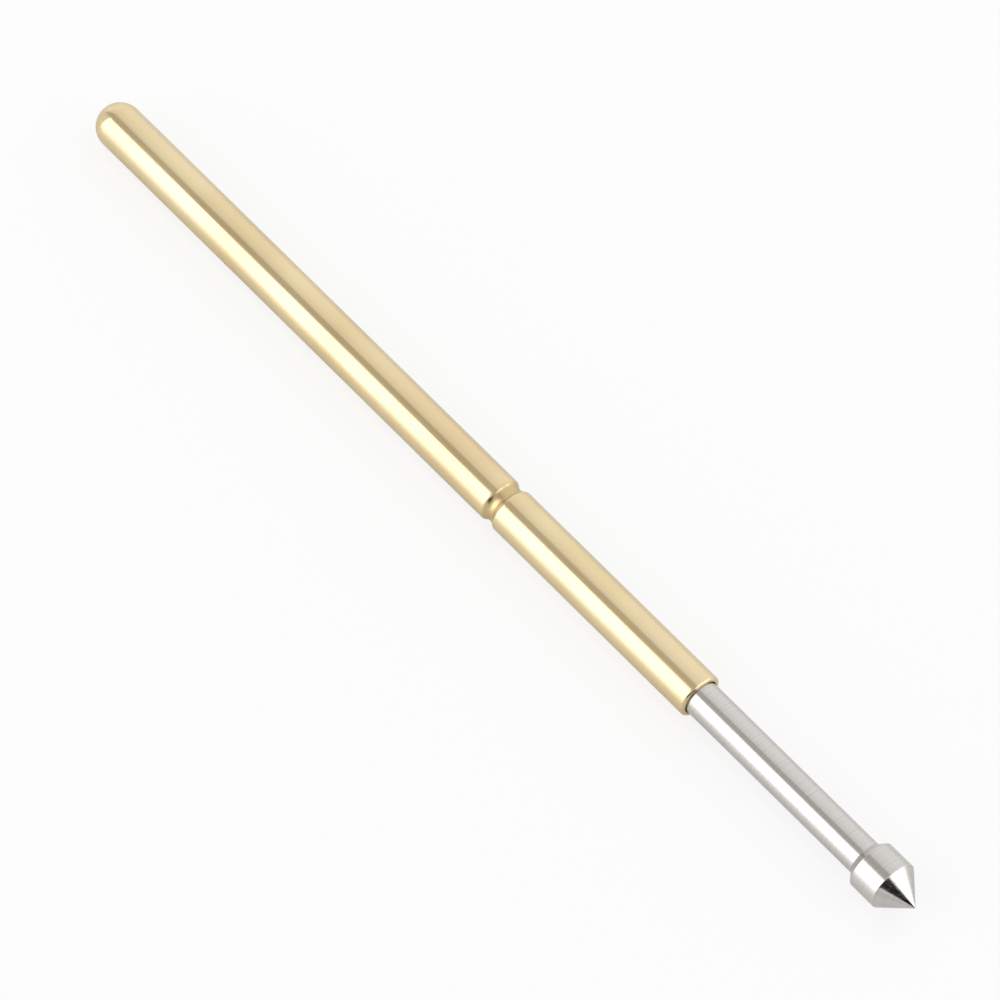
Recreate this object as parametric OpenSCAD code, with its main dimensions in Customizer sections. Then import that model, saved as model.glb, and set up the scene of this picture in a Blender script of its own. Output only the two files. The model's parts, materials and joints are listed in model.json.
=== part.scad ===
// Spring test probe: a pointed plunger slides in a crimped barrel against a coil spring.
// The long axis lies along X and the tip points to +X.
// The origin is the centre of the barrel's mouth.

/* [Barrel] */
// Outer diameter of the barrel
barrel_d = 1.36; // [1.32:0.01:1.44]
// Thickness of the barrel's wall
barrel_wall = 0.135; // [0.12:0.005:0.15]
// Length of the barrel from its mouth to the end of its dome
barrel_length = 24.85; // [24.5:0.05:26]
// Rounding of the mouth's outer edge
lip_r = 0.1; // [0.05:0.01:0.1]
// Rounding of the mouth's inner edge
mouth_r = 0.03; // [0.01:0.005:0.03]

/* [Crimp] */
// Distance from the mouth to the middle of the crimp
crimp_distance = 7.95; // [7.6:0.05:8.4]
// Depth of the crimp's groove, and height of the ridge it raises in the bore
crimp_depth = 0.1; // [0.07:0.005:0.12]
// Radius of the groove's floor
crimp_r = 0.28; // [0.2:0.01:0.36]
// Radius of the groove's shoulders
crimp_shoulder_r = 0.16; // [0.1:0.01:0.2]

/* [Plunger] */
// Length of plunger that stands out of the barrel at rest
exposed_length = 8.5; // [8.45:0.05:9]
// Full stroke of the plunger
travel = 6.35; // [5:0.05:6.4]
// Diameter of the head
head_d = 1.5; // [1.4:0.01:1.8]
// Full angle of the head's cone
cone_angle = 80; // [75:1:90]
// Radius of the blunted point
point_r = 0.03; // [0.02:0.005:0.05]
// Length of the head's straight collar
collar_length = 0.86; // [0.7:0.01:0.9]
// Slope of the taper from the collar down to the shaft
taper_angle = 45; // [40:1:60]
// Length of the rear bearing, behind the crimp
rear_bearing_length = 1.6; // [1:0.1:2]
// Bevel on the edges of both bearings
bearing_bevel = 0.05; // [0.02:0.01:0.06]

/* [Spring] */
// Diameter of the spring's wire
wire_d = 0.16; // [0.14:0.01:0.17]
// Turns of the spring, with its closed ends
turns = 44; // [38:1:46]
// Closed turns at each end
closed_turns = 1.5; // [1:0.5:2]

/* [Clearances] */
// Radial play of the plunger's bearings in the bore
bearing_gap = 0.02; // [0.015:0.005:0.03]
// Radial play of the plunger's neck inside the crimp's ridge
neck_gap = 0.03; // [0.02:0.005:0.06]
// Radial play of the spring in the bore
spring_gap = 0.04; // [0.03:0.005:0.06]
// Gap where the spring and the plunger bear at rest
seat_gap = 0.01; // [0.01:0.005:0.02]
// Gap left between the front bearing and the crimp at the end of the stroke
stop_gap = 0.05; // [0.03:0.01:0.08]

/* [Hidden] */
$fn = 96;

barrel_r = barrel_d / 2;
bore_r = barrel_r - barrel_wall;
dome_x = barrel_r - barrel_length;

// The groove's floor and the ridge's crown are arcs about one ring, so the wall stays even.
ridge_r = crimp_r + barrel_wall;
// Where the groove's arc meets a shoulder's arc, from the middle of the groove at the barrel's surface
groove_lift = crimp_r - crimp_depth;
crimp_ring_r = barrel_r + groove_lift;
shoulder_reach = sqrt(crimp_depth * (2 * (crimp_r + crimp_shoulder_r) - crimp_depth));
shoulder_share = crimp_r / (crimp_r + crimp_shoulder_r);
meeting_depth = (groove_lift + crimp_shoulder_r) * shoulder_share - groove_lift;
meeting_reach = shoulder_reach * shoulder_share;

head_r = head_d / 2;
shaft_r = bore_r - bearing_gap;
neck_r = bore_r - crimp_depth - neck_gap;
half_cone = cone_angle / 2;
point_centre_x = exposed_length - point_r;
cone_end_x = point_centre_x + point_r * sin(half_cone);
cone_end_r = point_r * cos(half_cone);
collar_front_x = cone_end_x - (head_r - cone_end_r) / tan(half_cone);
collar_back_x = collar_front_x - collar_length;
head_back_x = collar_back_x - (head_r - shaft_r) / tan(taper_angle);

// Half of the ridge's width where a bearing's edge meets it
stop_half = sqrt(pow(ridge_r, 2) - pow(crimp_ring_r - shaft_r, 2));
front_bearing_x = travel - crimp_distance + stop_half + stop_gap;
rear_bearing_x = -crimp_distance - stop_half - seat_gap;
plunger_back_x = rear_bearing_x - rear_bearing_length;

wire_r = wire_d / 2;
coil_r = bore_r - spring_gap - wire_r;
seat_reach = bore_r - wire_r - seat_gap;
spring_back_x = dome_x - sqrt(pow(seat_reach, 2) - pow(coil_r, 2));
spring_front_x = plunger_back_x - seat_gap - wire_r;
closed_pitch = wire_d + seat_gap;
open_turns = turns - 2 * closed_turns;
open_pitch = (spring_front_x - spring_back_x - 2 * closed_turns * closed_pitch) / open_turns;
steps_per_turn = 10;
wire_sides = 6;

// Axial place of the wire's centre after so many turns
function coil_x(turn) =
    spring_back_x
    + closed_pitch * min(turn, closed_turns)
    + open_pitch * max(0, min(turn - closed_turns, open_turns))
    + closed_pitch * max(0, turn - closed_turns - open_turns);

// One ring of points around the wire
function wire_ring(turn) =
    [for (side = [0 : wire_sides - 1])
        let (around = 360 * side / wire_sides)
        let (reach = coil_r + wire_r * cos(around))
        [coil_x(turn) + wire_r * sin(around), reach * cos(360 * turn), reach * sin(360 * turn)]];

// Right half of a disc, for turning into a ball end
module half_disc(r) {
    intersection() {
        circle(r);
        translate([0, -r]) square([r, 2 * r]);
    }
}

// Half section of a rod of radius r with one ball end, from the dome's centre to length x
module ball_rod(r, x) {
    translate([0, dome_x]) half_disc(r);
    translate([0, dome_x]) square([r, x - dome_x]);
}

// The corner that a rounding of radius r takes off, outwards and forwards of its centre
module corner(r) {
    difference() {
        square(2 * r);
        circle(r);
    }
}

// What the crimp presses out of the barrel's outside
module crimp_groove() {
    translate([barrel_r, -crimp_distance]) difference() {
        union() {
            translate([groove_lift, 0]) circle(crimp_r);
            polygon([
                [crimp_shoulder_r, shoulder_reach],
                [0, shoulder_reach],
                [-meeting_depth, meeting_reach],
                [-meeting_depth, -meeting_reach],
                [0, -shoulder_reach],
                [crimp_shoulder_r, -shoulder_reach]
            ]);
        }
        for (side = [-1, 1])
            translate([-crimp_shoulder_r, side * shoulder_reach]) circle(crimp_shoulder_r);
    }
}

// The ridge that the crimp raises inside the bore
module crimp_ridge() {
    intersection() {
        translate([crimp_ring_r, -crimp_distance]) circle(ridge_r);
        translate([0, -crimp_distance - ridge_r]) square([bore_r + barrel_wall / 2, 2 * ridge_r]);
    }
}

module barrel_section() {
    difference() {
        union() {
            difference() {
                ball_rod(barrel_r, 0);
                ball_rod(bore_r, barrel_wall);
            }
            crimp_ridge();
        }
        crimp_groove();
        translate([barrel_r - lip_r, -lip_r]) corner(lip_r);
        translate([bore_r + mouth_r, -mouth_r]) mirror([1, 0]) corner(mouth_r);
    }
}

module plunger_section() {
    polygon([
        [0, plunger_back_x],
        [shaft_r - bearing_bevel, plunger_back_x],
        [shaft_r, plunger_back_x + bearing_bevel],
        [shaft_r, rear_bearing_x - bearing_bevel],
        [shaft_r - bearing_bevel, rear_bearing_x],
        [neck_r, rear_bearing_x],
        [neck_r, front_bearing_x],
        [shaft_r - bearing_bevel, front_bearing_x],
        [shaft_r, front_bearing_x + bearing_bevel],
        [shaft_r, head_back_x],
        [head_r, collar_back_x],
        [head_r, collar_front_x],
        [cone_end_r, cone_end_x],
        [0, cone_end_x]
    ]);
    translate([0, point_centre_x]) half_disc(point_r);
}

// Turns a half section, drawn as [radius, place along the axis], about the X axis
module turned() {
    rotate([0, 90, 0]) rotate_extrude() children();
}

module barrel() {
    color("gold") turned() barrel_section();
}

module plunger() {
    color("silver") turned() plunger_section();
}

module spring() {
    rings = turns * steps_per_turn;
    wire_points = [for (ring = [0 : rings]) each wire_ring(ring / steps_per_turn)];
    sides = [
        for (ring = [0 : rings - 1], side = [0 : wire_sides - 1])
            let (here = ring * wire_sides, there = here + wire_sides, next = (side + 1) % wire_sides)
            [here + side, there + side, there + next, here + next]
    ];
    back_end = [for (side = [0 : wire_sides - 1]) side];
    front_end = [for (side = [wire_sides - 1 : -1 : 0]) rings * wire_sides + side];
    color("lightsteelblue") polyhedron(wire_points, concat([back_end], sides, [front_end]));
}

barrel();
spring();
plunger();
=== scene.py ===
"""Spring test probe: the finished look of its barrel, spring and plunger, in a plain studio.

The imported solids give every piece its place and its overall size. The barrel and the plunger are
turned again here as smooth closed meshes on the same axis, with their edges broken as a lathe
leaves them, and plated. The spring is wound again from its wire. Names that end in _mm are lengths
in millimetres. Angles are in degrees, and azimuths run from +X towards +Y.
"""

import json
import logging
import math
from dataclasses import dataclass, field
from enum import Enum

import bmesh
import bpy
from mathutils import Matrix, Vector


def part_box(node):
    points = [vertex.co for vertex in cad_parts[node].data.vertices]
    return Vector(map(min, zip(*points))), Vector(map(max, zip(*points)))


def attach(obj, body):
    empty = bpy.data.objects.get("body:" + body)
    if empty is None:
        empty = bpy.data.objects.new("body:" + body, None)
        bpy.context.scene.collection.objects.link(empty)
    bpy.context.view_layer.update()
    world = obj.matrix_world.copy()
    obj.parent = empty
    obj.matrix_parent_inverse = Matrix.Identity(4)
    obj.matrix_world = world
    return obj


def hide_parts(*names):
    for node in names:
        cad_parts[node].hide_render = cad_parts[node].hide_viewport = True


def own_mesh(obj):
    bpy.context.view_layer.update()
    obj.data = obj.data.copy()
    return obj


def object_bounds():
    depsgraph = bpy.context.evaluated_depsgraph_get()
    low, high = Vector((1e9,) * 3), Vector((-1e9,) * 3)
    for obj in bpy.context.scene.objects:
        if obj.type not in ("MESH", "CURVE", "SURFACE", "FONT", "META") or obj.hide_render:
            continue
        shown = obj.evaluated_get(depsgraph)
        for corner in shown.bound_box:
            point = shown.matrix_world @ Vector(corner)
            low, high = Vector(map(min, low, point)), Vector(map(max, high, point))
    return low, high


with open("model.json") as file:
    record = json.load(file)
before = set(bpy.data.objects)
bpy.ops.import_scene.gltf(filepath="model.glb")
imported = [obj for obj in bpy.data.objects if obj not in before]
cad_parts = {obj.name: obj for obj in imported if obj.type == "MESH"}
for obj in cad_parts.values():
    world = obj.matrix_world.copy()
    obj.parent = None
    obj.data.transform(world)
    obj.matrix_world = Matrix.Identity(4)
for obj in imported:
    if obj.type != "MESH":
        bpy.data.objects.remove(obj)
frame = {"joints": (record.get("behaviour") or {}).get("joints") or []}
CAD_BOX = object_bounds()

LOG = logging.getLogger("probe")
MM = 0.001
LONG_AXIS = (1.0, 0.0, 0.0)
WHITE = (1.0, 1.0, 1.0, 1.0)
BLACK = (0.0, 0.0, 0.0, 1.0)
# Setting of a Map Range node that eases from one value into the other
SMOOTHLY = {"interpolation_type": "SMOOTHSTEP"}
# Range that nearly all of a noise texture lies in
NOISE_RANGE = (0.3, 0.7)


class Slot(Enum):
    """Material slots of the record."""

    BARREL = "gilt_barrel"
    SPRING = "spring_wire"
    PLUNGER = "plated_plunger"


class Turn(Enum):
    """Which way an arc bends while a section is drawn from back to front."""

    OVER = 1
    UNDER = -1


# ---------------------------------------------------------------- meshes


def new_object(
    mesh: bmesh.types.BMesh, name: str, material: bpy.types.Material
) -> bpy.types.Object:
    """Makes a drawn mesh into an object at the frame's origin.

    Args:
        mesh: The mesh in metres, which is used up.
        name: Name of the new object.
        material: Its one material.

    Returns:
        The object.
    """
    data = bpy.data.meshes.new(name)
    mesh.to_mesh(data)
    mesh.free()
    data.materials.append(material)
    made = bpy.data.objects.new(name, data)
    bpy.context.collection.objects.link(made)
    return made


def closed_piece(
    mesh: bmesh.types.BMesh, name: str, material: bpy.types.Material
) -> bpy.types.Object:
    """Makes a closed mesh drawn in millimetres into a smooth piece in metres.

    Args:
        mesh: The mesh, which is used up.
        name: Name of the new piece.
        material: Its one material.

    Returns:
        The piece.
    """
    bmesh.ops.recalc_face_normals(mesh, faces=mesh.faces)
    bmesh.ops.scale(mesh, vec=(MM, MM, MM), verts=mesh.verts)
    for face in mesh.faces:
        face.smooth = True
    return new_object(mesh, name, material)


def span_mm(node: str) -> tuple[float, float, float]:
    """Gives a CAD node's back end, front end and largest radius, in millimetres."""
    low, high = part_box(node)
    return low.x / MM, high.x / MM, max(high.y, high.z) / MM


class Section:
    """Half section of a turned piece, in millimetres along and out from the long axis."""

    # Faces once round the axis
    AROUND = 192
    # Stretches across a broken edge
    ACROSS_EDGE = 5
    # How far from its ends a long stretch is split
    HOLD_MM = 0.012
    # Only a stretch that is longer than so many of those distances is split
    LONG = 4
    # Points nearer to each other than this become one
    WELD_MM = 1e-5

    def __init__(self, x: float, r: float) -> None:
        """Starts the line.

        Args:
            x: Place of its first point along the axis.
            r: Distance of its first point from the axis.
        """
        self.mesh = bmesh.new()
        self.end = self.mesh.verts.new((x, 0.0, r))
        self.corners: list[tuple[bmesh.types.BMVert, float]] = []

    def line_to(self, x: float, r: float, edge_break: float = 0.0) -> None:
        """Draws a straight stretch.

        Args:
            x: Place of its end along the axis.
            r: Distance of its end from the axis.
            edge_break: How far from the corner at its end the rounding starts, or 0 for none.
        """
        made = bmesh.ops.extrude_vert_indiv(self.mesh, verts=[self.end])
        self.end = made["verts"][0]
        self.end.co = (x, 0.0, r)
        if edge_break:
            self.corners.append((self.end, edge_break))

    def arc(
        self, x: float, r: float, degrees: float, turn: Turn = Turn.OVER, *, steps: int
    ) -> None:
        """Draws an arc by spinning the end point about a centre.

        Args:
            x: Place of the centre along the axis.
            r: Distance of the centre from the axis.
            degrees: How far the arc goes round.
            turn: Which way it bends.
            steps: Number of stretches that it is made of.
        """
        made = bmesh.ops.spin(
            self.mesh, geom=[self.end], cent=(x, 0.0, r), axis=(0.0, 1.0, 0.0),
            angle=turn.value * math.radians(degrees), steps=steps, use_merge=False,
        )
        self.end = next(g for g in made["geom_last"] if isinstance(g, bmesh.types.BMVert))

    def _break_edges(self) -> None:
        """Rounds each corner that was drawn with an edge break."""
        for corner, edge_break in self.corners:
            bmesh.ops.bevel(
                self.mesh, geom=[corner], offset=edge_break, offset_type="OFFSET",
                segments=self.ACROSS_EDGE, profile=0.5, affect="VERTICES", material=-1,
            )

    def _hold_ends(self) -> None:
        """Splits long stretches close to their ends, so that each shades as a true cylinder."""
        for edge in list(self.mesh.edges):
            length = edge.calc_length()
            if length > self.LONG * self.HOLD_MM:
                near, far = edge.verts
                rest, _ = bmesh.utils.edge_split(edge, near, self.HOLD_MM / length)
                longer = max((rest, *far.link_edges), key=lambda e: e.calc_length())
                bmesh.utils.edge_split(longer, far, self.HOLD_MM / longer.calc_length())

    def turned(self, name: str, material: bpy.types.Material) -> bpy.types.Object:
        """Turns the section once round the long axis, on which it ends as it began.

        Args:
            name: Name of the new piece.
            material: Its one material.

        Returns:
            The closed piece, in metres.
        """
        self.end.co.z = 0.0
        self._break_edges()
        self._hold_ends()
        bmesh.ops.spin(
            self.mesh, geom=self.mesh.verts[:] + self.mesh.edges[:], cent=(0.0, 0.0, 0.0),
            axis=LONG_AXIS, angle=math.tau, steps=self.AROUND, use_merge=True,
        )
        bmesh.ops.remove_doubles(self.mesh, verts=self.mesh.verts, dist=self.WELD_MM)
        return closed_piece(self.mesh, name, material)


# ---------------------------------------------------------------- finishes


def linear(hex_colour: str) -> tuple[float, float, float, float]:
    """Turns an sRGB colour into linear light.

    Args:
        hex_colour: The colour, such as "#E4D1A3".

    Returns:
        Its linear red, green and blue, and an alpha of 1.
    """
    shares = [int(hex_colour[i : i + 2], 16) / 255 for i in (1, 3, 5)]
    curve = [s / 12.92 if s <= 0.04045 else ((s + 0.055) / 1.055) ** 2.4 for s in shares]
    return (*curve, 1.0)


def add_node(
    tree: bpy.types.NodeTree, kind: str, fields: dict | None = None, sockets: dict | None = None
) -> bpy.types.Node:
    """Adds a node with its settings and links.

    Args:
        tree: The tree that it goes into.
        kind: Type of the node.
        fields: Its own settings.
        sockets: Its inputs, each a value or another node's output.

    Returns:
        The new node.
    """
    node = tree.nodes.new(kind)
    for name, value in (fields or {}).items():
        setattr(node, name, value)
    for name, value in (sockets or {}).items():
        if isinstance(value, bpy.types.NodeSocket):
            tree.links.new(value, node.inputs[name])
        else:
            node.inputs[name].default_value = value
    return node


def new_material(name: str) -> tuple[bpy.types.Material, bpy.types.NodeTree]:
    """Makes an empty node material.

    Args:
        name: Its name.

    Returns:
        The material and its tree.
    """
    material = bpy.data.materials.new(name)
    material.use_nodes = True
    material.node_tree.nodes.clear()
    return material, material.node_tree


def ranges(source: tuple[float, float], target: tuple[float, float]) -> dict[str, float]:
    """Gives the sockets of a Map Range node that brings one range to another.

    Args:
        source: Range of the value that goes in.
        target: Range of the value that comes out.

    Returns:
        The four sockets with their values.
    """
    sockets = {"From Min": source[0], "From Max": source[1]}
    return sockets | {"To Min": target[0], "To Max": target[1]}


def patches(tree: bpy.types.NodeTree, across_mm: float, detail: float) -> bpy.types.NodeSocket:
    """Adds soft patches.

    Args:
        tree: The material's tree.
        across_mm: Size of a patch.
        detail: Octaves of finer patches.

    Returns:
        The patches, from 0 to 1.
    """
    place = add_node(tree, "ShaderNodeTexCoord").outputs["Object"]
    noise = add_node(
        tree, "ShaderNodeTexNoise", {},
        {"Vector": place, "Scale": 1 / (across_mm * MM), "Detail": detail},
    )
    return noise.outputs["Fac"]


def streaks(
    tree: bpy.types.NodeTree, along_mm: float, across_mm: float
) -> bpy.types.NodeSocket:
    """Adds fine lines along the long axis, as a drawing die leaves them.

    Args:
        tree: The material's tree.
        along_mm: Length of a line.
        across_mm: Width of a line.

    Returns:
        The lines as a height from 0 to 1.
    """
    place = add_node(tree, "ShaderNodeTexCoord").outputs["Object"]
    scale = (1 / (along_mm * MM), 1 / (across_mm * MM), 1 / (across_mm * MM))
    stretched = add_node(tree, "ShaderNodeMapping", {}, {"Vector": place, "Scale": scale})
    noise = add_node(
        tree, "ShaderNodeTexNoise", {},
        {"Vector": stretched.outputs["Vector"], "Scale": 1.0, "Detail": 2.0, "Roughness": 0.6},
    )
    return noise.outputs["Fac"]


def rings(tree: bpy.types.NodeTree, pitch_mm: float) -> bpy.types.NodeSocket:
    """Adds uneven rings round the long axis, as a turning tool leaves them.

    Args:
        tree: The material's tree.
        pitch_mm: Distance from ring to ring.

    Returns:
        The rings as a height from 0 to 1.
    """
    place = add_node(tree, "ShaderNodeTexCoord").outputs["Object"]
    along = add_node(tree, "ShaderNodeSeparateXYZ", {}, {"Vector": place}).outputs["X"]
    noise = add_node(
        tree, "ShaderNodeTexNoise", {"noise_dimensions": "1D"},
        {"W": along, "Scale": 1 / (pitch_mm * MM), "Detail": 2.0, "Roughness": 0.55},
    )
    return noise.outputs["Fac"]


@dataclass(frozen=True)
class GiltPlate:
    """Flash of pale gold over nickel, on a tube that was drawn through a die."""

    colour: str = "#E6D3AA"
    warmer: str = "#DFC99D"
    # Painted shade down in the crimp
    crimp_shade_colour: str = "#B79A5C"
    # Roughness in the valley of a line and on its crest
    smoothest: float = 0.12
    roughest: float = 0.19
    patch_mm: float = 4.0
    # Part of the noise over which thin gold turns into thick
    patch_range: tuple[float, float] = (0.35, 0.7)
    # A die's own lines are about 0.01 mm wide: these are drawn coarser, so that they show
    line_width_mm: float = 0.07
    line_length_mm: float = 3.0
    line_depth_mm: float = 0.002
    line_strength: float = 0.08
    # Share of painted shade in the middle of the crimp, and how much rougher the crimp is where
    # that share is full
    crimp_shade: float = 0.45
    crimp_roughness: float = 0.3
    # Shares of the crimp's width, out from its middle, between which the painted shade ends
    crimp_shade_edge: tuple[float, float] = (0.2, 0.5)

    def _crimp_shade_share(
        self, tree: bpy.types.NodeTree, groove_mm: float, width_mm: float
    ) -> bpy.types.NodeSocket:
        """Gives the share of painted shade, which stays only down in the crimp and also makes it
        rougher there.

        Args:
            tree: The material's tree.
            groove_mm: Place of the crimp along the axis.
            width_mm: Width of the crimp with its shoulders.

        Returns:
            The share, from 0 to 1.
        """
        place = add_node(tree, "ShaderNodeTexCoord").outputs["Object"]
        along = add_node(tree, "ShaderNodeSeparateXYZ", {}, {"Vector": place}).outputs["X"]
        off_groove = add_node(
            tree, "ShaderNodeMath", {"operation": "SUBTRACT"}, {0: along, 1: groove_mm * MM},
        )
        distance = add_node(
            tree, "ShaderNodeMath", {"operation": "ABSOLUTE"}, {0: off_groove.outputs[0]},
        )
        edge = tuple(share * width_mm * MM for share in self.crimp_shade_edge)
        share = add_node(
            tree, "ShaderNodeMapRange", SMOOTHLY,
            {"Value": distance.outputs[0], **ranges(edge, (self.crimp_shade, 0.0))},
        )
        return share.outputs["Result"]

    def material(self, groove_mm: float, groove_width_mm: float) -> bpy.types.Material:
        """Makes the finish.

        Args:
            groove_mm: Place of the crimp along the axis.
            groove_width_mm: Width of the crimp with its shoulders.

        Returns:
            The material.
        """
        # Gives the eye a pale champagne mirror, a little warmer where the gold lies thicker,
        # softened lengthwise by the die's faint lines, and duller and darker down in the crimp,
        # where the darker colour is painted shade
        material, tree = new_material("gold_flash_on_drawn_tube")
        thicker = add_node(
            tree, "ShaderNodeMapRange", SMOOTHLY,
            {"Value": patches(tree, self.patch_mm, detail=3.0),
             **ranges(self.patch_range, (0.0, 1.0))},
        )
        plated = add_node(
            tree, "ShaderNodeMix", {"data_type": "RGBA"},
            {"Factor": thicker.outputs["Result"],
             "A": linear(self.colour), "B": linear(self.warmer)},
        )
        # Painted shade: darkens the colour down in the crimp, and makes it rougher there
        crimp_shade = self._crimp_shade_share(tree, groove_mm, groove_width_mm)
        shade = add_node(
            tree, "ShaderNodeMix", {"data_type": "RGBA"},
            {"Factor": crimp_shade, "A": plated.outputs["Result"], "B": linear(self.crimp_shade_colour)},
        )
        lines = streaks(tree, self.line_length_mm, self.line_width_mm)
        relief = add_node(
            tree, "ShaderNodeBump", {},
            {"Strength": self.line_strength, "Distance": self.line_depth_mm * MM,
             "Height": lines},
        )
        clean = add_node(
            tree, "ShaderNodeMapRange", SMOOTHLY,
            {"Value": lines, **ranges(NOISE_RANGE, (self.smoothest, self.roughest))},
        )
        dulled = add_node(
            tree, "ShaderNodeMath", {"operation": "MULTIPLY_ADD"},
            {0: crimp_shade, 1: self.crimp_roughness, 2: clean.outputs["Result"]},
        )
        surface = add_node(
            tree, "ShaderNodeBsdfPrincipled", {},
            {"Base Color": shade.outputs["Result"], "Metallic": 1.0,
             "Roughness": dulled.outputs[0], "Normal": relief.outputs["Normal"]},
        )
        add_node(tree, "ShaderNodeOutputMaterial", {}, {"Surface": surface.outputs["BSDF"]})
        return material


@dataclass(frozen=True)
class BrightNickel:
    """Bright nickel over a rod that was turned on a lathe."""

    colour: str = "#D0CDC9"
    darker: str = "#C8C5C0"
    # Roughness between the marks of sliding and on them
    smoothest: float = 0.11
    roughest: float = 0.19
    # A fine cut leaves rings about 0.02 mm apart: these are drawn coarser, so that they show
    ring_mm: float = 0.06
    # Part of the noise over which a ring grows darker
    ring_range: tuple[float, float] = (0.35, 0.75)
    ring_depth_mm: float = 0.002
    ring_strength: float = 0.03
    # Marks of sliding in the barrel, coarser than real ones for the same reason
    wear_width_mm: float = 0.08
    wear_length_mm: float = 1.5
    # Height of a mark as a share of a ring's
    wear_share: float = 0.3

    def material(self) -> bpy.types.Material:
        """Makes the finish.

        Returns:
            The material.
        """
        # Gives the eye a light, slightly warm grey mirror, whose fine rings show it was turned
        material, tree = new_material("nickel_on_turned_rod")
        marks = rings(tree, self.ring_mm)
        wear = streaks(tree, self.wear_length_mm, self.wear_width_mm)
        in_ring = add_node(
            tree, "ShaderNodeMapRange", SMOOTHLY,
            {"Value": marks, **ranges(self.ring_range, (0.0, 1.0))},
        )
        tone = add_node(
            tree, "ShaderNodeMix", {"data_type": "RGBA"},
            {"Factor": in_ring.outputs["Result"],
             "A": linear(self.colour), "B": linear(self.darker)},
        )
        height = add_node(
            tree, "ShaderNodeMath", {"operation": "MULTIPLY_ADD"},
            {0: wear, 1: self.wear_share, 2: marks},
        )
        relief = add_node(
            tree, "ShaderNodeBump", {},
            {"Strength": self.ring_strength, "Distance": self.ring_depth_mm * MM,
             "Height": height.outputs[0]},
        )
        worn = add_node(
            tree, "ShaderNodeMapRange", SMOOTHLY,
            {"Value": wear, **ranges(NOISE_RANGE, (self.smoothest, self.roughest))},
        )
        surface = add_node(
            tree, "ShaderNodeBsdfPrincipled", {},
            {"Base Color": tone.outputs["Result"], "Metallic": 1.0,
             "Roughness": worn.outputs["Result"], "Normal": relief.outputs["Normal"]},
        )
        add_node(tree, "ShaderNodeOutputMaterial", {}, {"Surface": surface.outputs["BSDF"]})
        return material


@dataclass(frozen=True)
class DrawnWire:
    """Bare spring steel wire, drawn and then coiled."""

    colour: str = "#B9B9BA"
    darker: str = "#97979A"
    # Roughness of the lighter and of the darker steel
    smoothest: float = 0.22
    roughest: float = 0.36
    patch_mm: float = 0.4

    def material(self) -> bpy.types.Material:
        """Makes the finish.

        Returns:
            The material.
        """
        # Gives the eye a cool satin grey, mottled from turn to turn where the wire was coiled
        material, tree = new_material("drawn_spring_steel")
        mottle = patches(tree, self.patch_mm, detail=4.0)
        tone = add_node(
            tree, "ShaderNodeMix", {"data_type": "RGBA"},
            {"Factor": mottle, "A": linear(self.colour), "B": linear(self.darker)},
        )
        satin = add_node(
            tree, "ShaderNodeMapRange", SMOOTHLY,
            {"Value": mottle, **ranges(NOISE_RANGE, (self.smoothest, self.roughest))},
        )
        surface = add_node(
            tree, "ShaderNodeBsdfPrincipled", {},
            {"Base Color": tone.outputs["Result"], "Metallic": 1.0,
             "Roughness": satin.outputs["Result"]},
        )
        add_node(tree, "ShaderNodeOutputMaterial", {}, {"Surface": surface.outputs["BSDF"]})
        return material


@dataclass(frozen=True)
class PaleBoard:
    """White laminate board with a satin face."""

    colour: str = "#E4E4E3"
    roughness: float = 0.25
    sheen: float = 0.3
    # Shares of plain white where the board is looked at, and where metal or glass shows it
    eye_lift: float = 0.82
    metal_lift: float = 0.15

    def material(self) -> bpy.types.Material:
        """Makes the finish.

        Returns:
            The material.
        """
        # Gives the eye a clean white ground that keeps a light shadow and a faint satin mirror
        material, tree = new_material("satin_white_laminate")
        path = add_node(tree, "ShaderNodeLightPath").outputs
        mirrored = add_node(
            tree, "ShaderNodeMath", {"operation": "MAXIMUM"},
            {0: path["Is Glossy Ray"], 1: path["Is Transmission Ray"]},
        )
        in_metal = add_node(
            tree, "ShaderNodeMath", {"operation": "MULTIPLY"},
            {0: mirrored.outputs[0], 1: self.metal_lift},
        )
        lifted = add_node(
            tree, "ShaderNodeMath", {"operation": "MULTIPLY_ADD"},
            {0: path["Is Camera Ray"], 1: self.eye_lift, 2: in_metal.outputs[0]},
        ).outputs[0]
        lit = add_node(
            tree, "ShaderNodeMix", {"data_type": "RGBA"},
            {"Factor": lifted, "A": linear(self.colour), "B": BLACK},
        )
        surface = add_node(
            tree, "ShaderNodeBsdfPrincipled", {},
            {"Base Color": lit.outputs["Result"], "Roughness": self.roughness,
             "Specular IOR Level": self.sheen,
             "Emission Color": WHITE, "Emission Strength": lifted},
        )
        add_node(tree, "ShaderNodeOutputMaterial", {}, {"Surface": surface.outputs["BSDF"]})
        return material


@dataclass(frozen=True)
class BlackFelt:
    """Black felt on a studio card."""

    colour: str = "#2A2622"

    def material(self) -> bpy.types.Material:
        """Makes the finish.

        Returns:
            The material.
        """
        # Gives the eye nothing of its own, but draws a dark line where bright metal shows it
        material, tree = new_material("black_felt")
        surface = add_node(
            tree, "ShaderNodeBsdfPrincipled", {},
            {"Base Color": linear(self.colour), "Roughness": 1.0, "Specular IOR Level": 0.0},
        )
        add_node(tree, "ShaderNodeOutputMaterial", {}, {"Surface": surface.outputs["BSDF"]})
        return material


# ---------------------------------------------------------------- pieces of the probe


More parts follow.
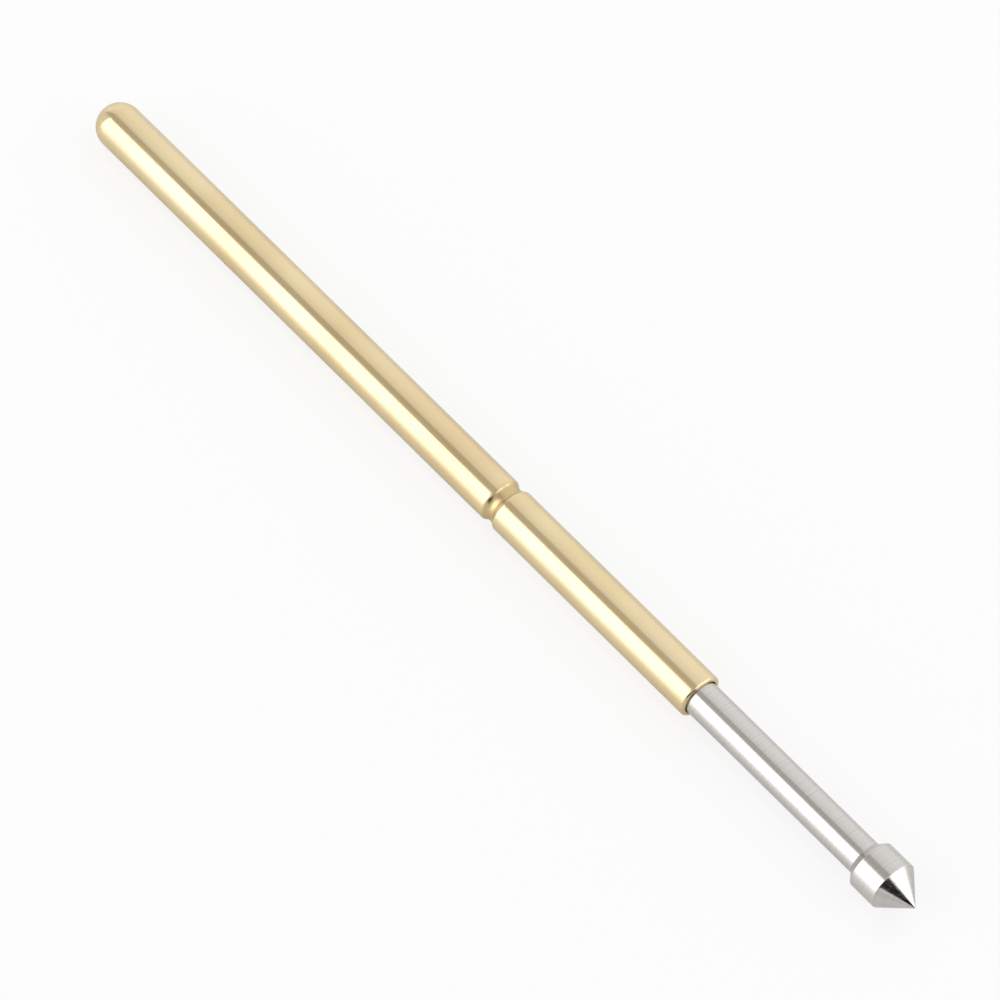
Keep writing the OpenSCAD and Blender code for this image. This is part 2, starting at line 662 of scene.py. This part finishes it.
@dataclass
class Barrel:
    """Drawn tube with a round closed tail and one rolled crimp. Sizes are in millimetres."""

    wall: float = 0.135
    lip: float = 0.1
    mouth_edge: float = 0.03
    crimp_behind_mouth: float = 7.95
    crimp_depth: float = 0.1
    crimp_radius: float = 0.28
    shoulder: float = 0.16
    finish: GiltPlate = field(default_factory=GiltPlate)

    def __post_init__(self) -> None:
        """Takes the overall size from the CAD node, and works out where the crimp's arcs meet."""
        self.tail, self.mouth, self.radius = span_mm("barrel")
        self.bore = self.radius - self.wall
        self.dome = self.tail + self.radius
        self.crimp = self.mouth - self.crimp_behind_mouth
        reach = self.crimp_radius + self.shoulder
        self.crimp_angle = math.degrees(math.acos((reach - self.crimp_depth) / reach))
        self.crimp_reach = reach * math.sin(math.radians(self.crimp_angle))
        self.ring = self.radius - self.crimp_depth + self.crimp_radius

    def _outside(self) -> Section:
        """Draws from the tail's pole to the mouth's lip.

        Returns:
            The section so far.
        """
        line = Section(self.tail, 0.0)
        line.arc(self.dome, 0.0, 90, steps=40)
        line.line_to(self.crimp - self.crimp_reach, self.radius)
        shoulder_r = self.radius - self.shoulder
        line.arc(self.crimp - self.crimp_reach, shoulder_r, self.crimp_angle, steps=10)
        line.arc(self.crimp, self.ring, 2 * self.crimp_angle, Turn.UNDER, steps=24)
        line.arc(self.crimp + self.crimp_reach, shoulder_r, self.crimp_angle, steps=10)
        line.line_to(self.mouth - self.lip, self.radius)
        line.arc(self.mouth - self.lip, self.radius - self.lip, 90, steps=14)
        return line

    def _inside(self, line: Section) -> None:
        """Draws on from the lip, down the bore and over the crimp's ridge to the closed end.

        Args:
            line: The section so far.
        """
        edge_r = self.bore + self.mouth_edge
        line.line_to(self.mouth, edge_r)
        line.arc(self.mouth - self.mouth_edge, edge_r, 90, steps=8)
        ridge = self.crimp_radius + self.wall
        half_turn = math.degrees(math.acos((self.ring - self.bore) / ridge))
        line.line_to(self.crimp + ridge * math.sin(math.radians(half_turn)), self.bore)
        line.arc(self.crimp, self.ring, 2 * half_turn, steps=24)
        line.line_to(self.dome, self.bore)
        line.arc(self.dome, 0.0, 90, Turn.UNDER, steps=24)

    def build(self) -> bpy.types.Object:
        """Turns the barrel, plates it and sets it on its body.

        Returns:
            The barrel.
        """
        line = self._outside()
        self._inside(line)
        material = self.finish.material(self.crimp, 2 * self.crimp_reach)
        piece = line.turned("barrel_gilt_tube", material)
        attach(piece, "barrel")
        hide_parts("barrel")
        return piece


@dataclass
class Plunger:
    """Turned rod: point, collar, rear taper and shaft, and the neck and bearings in the barrel.

    Sizes are in millimetres.
    """

    cone_angle: float = 80.0
    point_radius: float = 0.03
    collar: float = 0.86
    shaft_radius: float = 0.525
    neck_radius: float = 0.415
    neck_front: float = -1.305
    neck_back: float = -8.205
    bearing_bevel: float = 0.05
    edge: float = 0.014
    finish: BrightNickel = field(default_factory=BrightNickel)

    def __post_init__(self) -> None:
        """Takes the overall size from the CAD node, and works out the head."""
        self.back, self.tip, self.head_radius = span_mm("plunger")
        half = math.radians(self.cone_angle / 2)
        self.point_centre = self.tip - self.point_radius
        self.cone_x = self.point_centre + self.point_radius * math.sin(half)
        self.cone_r = self.point_radius * math.cos(half)
        self.collar_front = self.cone_x - (self.head_radius - self.cone_r) / math.tan(half)
        self.collar_back = self.collar_front - self.collar
        self.taper_back = self.collar_back - (self.head_radius - self.shaft_radius)

    def _step_out(self, line: Section, x: float) -> None:
        """Draws the bevelled step at place x, from the neck or the back face out to the shaft."""
        line.line_to(x, self.shaft_radius - self.bearing_bevel, self.edge)
        line.line_to(x + self.bearing_bevel, self.shaft_radius, self.edge)

    def _step_in(self, line: Section, x: float) -> None:
        """Draws the bevelled step from the shaft in to the neck.

        Args:
            line: The section so far.
            x: Place of the step.
        """
        line.line_to(x - self.bearing_bevel, self.shaft_radius, self.edge)
        line.line_to(x, self.shaft_radius - self.bearing_bevel, self.edge)
        line.line_to(x, self.neck_radius, self.edge)

    def build(self) -> bpy.types.Object:
        """Turns the plunger, plates it and sets it on its body.

        Returns:
            The plunger.
        """
        line = Section(self.back, 0.0)
        self._step_out(line, self.back)
        self._step_in(line, self.neck_back)
        line.line_to(self.neck_front, self.neck_radius, self.edge)
        self._step_out(line, self.neck_front)
        line.line_to(self.taper_back, self.shaft_radius, self.edge)
        line.line_to(self.collar_back, self.head_radius, self.edge)
        line.line_to(self.collar_front, self.head_radius, self.edge)
        line.line_to(self.cone_x, self.cone_r)
        line.arc(self.point_centre, 0.0, 90 - self.cone_angle / 2, steps=8)
        piece = line.turned("plunger_turned_rod", self.finish.material())
        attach(piece, "plunger")
        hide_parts("plunger")
        return piece


@dataclass
class Spring:
    """Coil spring of round wire, with its end turns closed. Sizes are in millimetres."""

    wire: float = 0.16
    turns: float = 44.0
    closed_turns: float = 1.5
    closed_pitch: float = 0.17
    steps_per_turn: int = 24
    sides: int = 12
    finish: DrawnWire = field(default_factory=DrawnWire)

    def __post_init__(self) -> None:
        """Takes the ends and the outer radius from the CAD node, and the stroke from its joint."""
        self.back, self.front, outer = span_mm("spring")
        self.coil_radius = outer - self.wire / 2
        self.open_turns = self.turns - 2 * self.closed_turns
        rise = self.front - self.back - self.wire - 2 * self.closed_turns * self.closed_pitch
        self.open_pitch = rise / self.open_turns
        slide = next(joint for joint in frame["joints"] if joint["name"] == "plunger_slide")
        self.stroke = slide["range_m"][1] / MM

    def _wind(self, mesh: bmesh.types.BMesh, ring: list, turns: float, pitch: float) -> list:
        """Winds the wire on.

        Args:
            mesh: The spring so far.
            ring: The ring of points and edges that the wire ends in.
            turns: How many turns it goes on.
            pitch: Distance from turn to turn.

        Returns:
            The ring that it ends in then.
        """
        made = bmesh.ops.spin(
            mesh, geom=ring, cent=(0.0, 0.0, 0.0), axis=LONG_AXIS, angle=math.tau * turns,
            dvec=(pitch / self.steps_per_turn, 0.0, 0.0),
            steps=round(turns * self.steps_per_turn), use_merge=False,
        )
        return made["geom_last"]

    def build(self) -> bpy.types.Object:
        """Winds the spring and sets it on its body.

        Returns:
            The spring.
        """
        mesh = bmesh.new()
        start = Matrix.Translation((self.back + self.wire / 2, self.coil_radius, 0.0))
        bmesh.ops.create_circle(mesh, radius=self.wire / 2, segments=self.sides, matrix=start)
        first = mesh.edges[:]
        ring = mesh.verts[:] + first
        for turns, pitch in (
            (self.closed_turns, self.closed_pitch),
            (self.open_turns, self.open_pitch),
            (self.closed_turns, self.closed_pitch),
        ):
            ring = self._wind(mesh, ring, turns, pitch)
        last = [item for item in ring if isinstance(item, bmesh.types.BMEdge)]
        for end in (first, last):
            bmesh.ops.edgeloop_fill(mesh, edges=end)
        piece = closed_piece(mesh, "spring_coil", self.finish.material())
        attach(piece, "spring")
        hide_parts("spring")
        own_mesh(piece)
        return piece


# ---------------------------------------------------------------- studio


def direction(azimuth: float, elevation: float) -> Vector:
    """Gives the unit vector to an azimuth and an elevation."""
    a, e = math.radians(azimuth), math.radians(elevation)
    return Vector((math.cos(e) * math.cos(a), math.cos(e) * math.sin(a), math.sin(e)))


def facing(place: Vector, target: Vector) -> Matrix:
    """Gives the matrix of something at a place whose -Z looks at a target and whose Y is up."""
    turn = (target - place).to_track_quat("-Z", "Y").to_matrix().to_4x4()
    return Matrix.Translation(place) @ turn


def flat_panel(
    name: str, half_sides: tuple[float, float], place: Matrix, material: bpy.types.Material
) -> bpy.types.Object:
    """Sets up a flat panel of the studio.

    Args:
        name: Its name.
        half_sides: Half its width and half its height, in metres.
        place: Where its middle goes, and how it is turned.
        material: Its one material.

    Returns:
        The panel.
    """
    mesh = bmesh.new()
    bmesh.ops.create_grid(mesh, x_segments=1, y_segments=1, size=1.0)
    bmesh.ops.scale(mesh, vec=(*half_sides, 1.0), verts=mesh.verts)
    bmesh.ops.transform(mesh, matrix=place, verts=mesh.verts)
    return new_object(mesh, name, material)


@dataclass(frozen=True, kw_only=True)
class Hung:
    """Something that hangs square on to the probe, by its place in the sky over it.

    Width and height are the angles that it fills, and distance is in metres.
    """

    name: str
    azimuth: float
    elevation: float
    wide: float
    high: float
    distance: float

    def place(self, target: Vector) -> Matrix:
        """Gives the matrix of something that hangs there and faces the target."""
        return facing(target + self.distance * direction(self.azimuth, self.elevation), target)

    def half_sides(self) -> tuple[float, float]:
        """Gives half its width and half its height, in metres."""
        wide, high = (math.tan(math.radians(angle / 2)) for angle in (self.wide, self.high))
        return self.distance * wide, self.distance * high


@dataclass(frozen=True, kw_only=True)
class Softbox(Hung):
    """Soft light. Its radiance comes on top of the sky's behind it."""

    radiance: float
    distance: float = 0.6

    def hang(self, target: Vector) -> None:
        """Hangs the light.

        Args:
            target: What it faces.
        """
        half_wide, half_high = self.half_sides()
        lamp = bpy.data.lights.new(self.name, "AREA")
        lamp.shape = "RECTANGLE"
        lamp.size = 2 * half_wide
        lamp.size_y = 2 * half_high
        lamp.energy = self.radiance * math.pi * lamp.size * lamp.size_y
        holder = bpy.data.objects.new(self.name, lamp)
        holder.matrix_world = self.place(target)
        bpy.context.collection.objects.link(holder)


@dataclass(frozen=True, kw_only=True)
class Card(Hung):
    """Black card that the camera doesn't see, but that shows in metal and takes light away."""

    distance: float = 0.5

    def hang(self, target: Vector) -> None:
        """Hangs the card.

        Args:
            target: What it faces.
        """
        felt = BlackFelt().material()
        card = flat_panel(self.name, self.half_sides(), self.place(target), felt)
        card.visible_camera = False


@dataclass(frozen=True)
class PaleSky:
    """Pale white all round, with a dimmer gap overhead that runs along the probe.

    Places are angles across the probe, from straight up towards +Y.
    """

    # Strength from -Y up to the gap, and from far_place on towards +Y
    near: float = 0.86
    far: float = 1.06
    far_place: float = 60.0
    gap_depth: float = 0.3
    gap_place: float = -10.0
    gap_width: float = 29.0
    # Share of half the gap's width, to both sides of its edge, over which it fades out
    gap_fade: float = 0.3
    gap_tint: str = "#FFF3DD"

    def hang(self) -> None:
        """Makes the world."""
        world = bpy.data.worlds.new("pale_sky")
        bpy.context.scene.world = world
        world.use_nodes = True
        tree = world.node_tree
        tree.nodes.clear()
        way = add_node(tree, "ShaderNodeTexCoord").outputs["Generated"]
        apart = add_node(tree, "ShaderNodeSeparateXYZ", {}, {"Vector": way}).outputs
        across = add_node(
            tree, "ShaderNodeMath", {"operation": "ARCTAN2"}, {0: apart["Y"], 1: apart["Z"]},
        ).outputs[0]
        place, half = math.radians(self.gap_place), math.radians(self.gap_width / 2)
        rise = (place, math.radians(self.far_place))
        pale = add_node(
            tree, "ShaderNodeMapRange", SMOOTHLY,
            {"Value": across, **ranges(rise, (self.near, self.far))},
        )
        off = add_node(
            tree, "ShaderNodeMath", {"operation": "SUBTRACT"}, {0: across, 1: place},
        )
        distance = add_node(
            tree, "ShaderNodeMath", {"operation": "ABSOLUTE"}, {0: off.outputs[0]},
        )
        edge = ((1 - self.gap_fade) * half, (1 + self.gap_fade) * half)
        dim = add_node(
            tree, "ShaderNodeMapRange", SMOOTHLY,
            {"Value": distance.outputs[0], **ranges(edge, (self.gap_depth, 0.0))},
        ).outputs["Result"]
        strength = add_node(
            tree, "ShaderNodeMath", {"operation": "SUBTRACT"}, {0: pale.outputs["Result"], 1: dim},
        )
        tint = add_node(
            tree, "ShaderNodeMix", {"data_type": "RGBA"},
            {"Factor": dim, "A": WHITE, "B": linear(self.gap_tint)},
        )
        glow = add_node(
            tree, "ShaderNodeBackground", {},
            {"Color": tint.outputs["Result"], "Strength": strength.outputs[0]},
        )
        add_node(tree, "ShaderNodeOutputWorld", {}, {"Surface": glow.outputs["Background"]})


@dataclass
class Studio:
    """White board, soft lights, a black card, a pale sky and the camera. Lengths are in metres."""

    half_board: float = 3.0
    softboxes: tuple[Softbox, ...] = (
        # Lights the -Y side, which the camera looks at
        Softbox(name="left_softbox", azimuth=-118, elevation=28, wide=50, high=54, radiance=1.32),
        # These two light the cone, and the gap between them keeps its outline grey from the side
        Softbox(name="right_softbox", azimuth=13.5, elevation=33, wide=38, high=24, radiance=1.0),
        Softbox(name="low_softbox", azimuth=45, elevation=13, wide=33, high=22, radiance=1.0),
    )
    card: Card = Card(name="front_card", azimuth=-30, elevation=21, wide=56, high=27)
    # The camera, as seen from the probe's middle
    azimuth: float = -41.0
    elevation: float = 58.7
    distance: float = 0.27
    lens_mm: float = 360.0
    nearest: float = 0.01
    farthest: float = 20.0

    def __post_init__(self) -> None:
        """Takes the probe's middle from the CAD box."""
        low, high = CAD_BOX
        self.middle = Vector(((low.x + high.x) / 2, 0.0, 0.0))

    def lay_board(self, barrel: Barrel, plunger: Plunger) -> None:
        """Lays the board so that the probe rests on its tail and its collar.

        Args:
            barrel: The probe's barrel.
            plunger: The probe's plunger.
        """
        run = plunger.collar_back - barrel.dome
        slope = (plunger.head_radius - barrel.radius) / run
        place = Matrix.Translation((barrel.dome * MM, 0.0, -barrel.radius * MM))
        tilt = Matrix.Rotation(math.atan(slope), 4, "Y")
        half_sides = (self.half_board, self.half_board)
        board = flat_panel("board", half_sides, place @ tilt, PaleBoard().material())

    def shoot(self) -> None:
        """Sets up the camera and the way that colours are shown."""
        data = bpy.data.cameras.new("camera")
        data.lens = self.lens_mm
        data.clip_start = self.nearest
        data.clip_end = self.farthest
        camera = bpy.data.objects.new("camera", data)
        place = self.middle + self.distance * direction(self.azimuth, self.elevation)
        camera.matrix_world = facing(place, self.middle)
        bpy.context.collection.objects.link(camera)
        bpy.context.scene.camera = camera
        bpy.context.scene.view_settings.view_transform = "Standard"

    def set_up(self, barrel: Barrel, plunger: Plunger) -> None:
        """Sets up the whole studio.

        Args:
            barrel: The probe's barrel.
            plunger: The probe's plunger.
        """
        self.lay_board(barrel, plunger)
        for box in self.softboxes:
            box.hang(self.middle)
        self.card.hang(self.middle)
        PaleSky().hang()
        self.shoot()


def main() -> None:
    """Builds the probe piece by piece, and then the studio."""
    logging.basicConfig(level=logging.INFO, format="%(message)s")
    barrel, spring, plunger = Barrel(), Spring(), Plunger()
    for maker in (barrel, spring, plunger):
        piece = maker.build()
        LOG.info("%s: %d faces", piece.name, len(piece.data.polygons))
    Studio().set_up(barrel, plunger)


if __name__ == "__main__":
    main()
